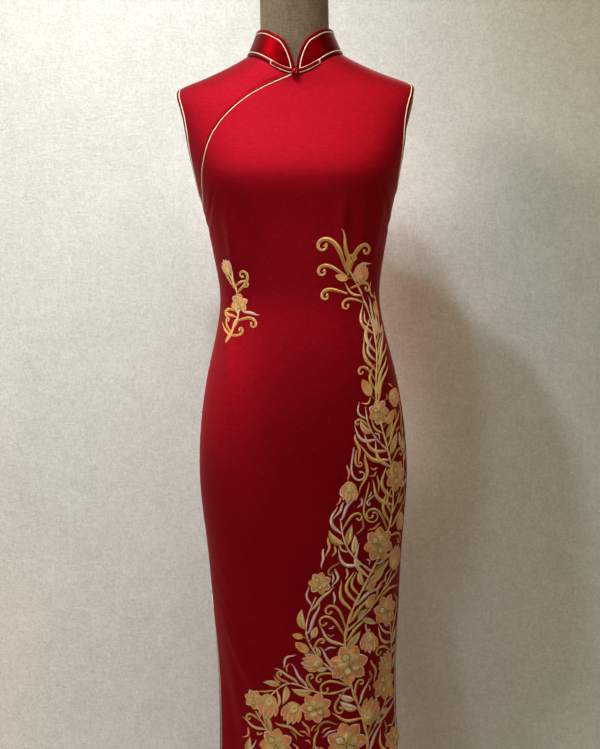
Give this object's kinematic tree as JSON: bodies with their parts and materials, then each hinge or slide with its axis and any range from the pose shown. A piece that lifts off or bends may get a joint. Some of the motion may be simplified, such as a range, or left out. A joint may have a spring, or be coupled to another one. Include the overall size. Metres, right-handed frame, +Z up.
{
  "type": "cheongsam dress on dress form",
  "caption": "Sleeveless full-length cheongsam with stand collar, curved front opening, bound edges and side slits, worn on a limbless dress form with a pole and round base.",
  "frame": {"origin": "on the floor, in the middle of the round base's underside", "axes": "+Z up, the dress's front faces -Y, the wearer's left is +X"},
  "size_m": [0.38, 0.38, 1.532],
  "materials": {
    "satin": "red silk satin with a soft sheen",
    "satin_trim": "crimson satin cut on the bias",
    "gold_piping": "champagne gold lame cord",
    "form_linen": "natural linen stretched smooth",
    "form_wood": "oiled",
    "form_steel": "brushed",
    "form_base": "black powder coat"
  },
  "bodies": {
    "root": {"front": "satin", "front_under": "satin", "back": "satin", "collar": "satin", "binding_armhole_left": "satin_trim", "binding_armhole_right": "satin_trim", "binding_opening": "satin_trim", "binding_skirt_front": "satin_trim", "binding_skirt_back": "satin_trim", "binding_collar": "satin_trim", "binding_collar_base": "satin_trim", "frog_knot": "satin_trim", "frog_bar_left": "satin_trim", "frog_bar_right": "satin_trim", "piping_armhole_left": "gold_piping", "piping_armhole_right": "gold_piping", "piping_opening": "gold_piping", "piping_skirt_front": "gold_piping", "piping_skirt_back": "gold_piping", "piping_collar": "gold_piping", "piping_collar_base": "gold_piping", "form_torso": "form_linen", "form_neck_cap": "form_wood", "form_pole": "form_steel", "form_socket": "form_steel", "form_hub": "form_steel", "form_base": "form_base"}
  },
  "joints": []
}
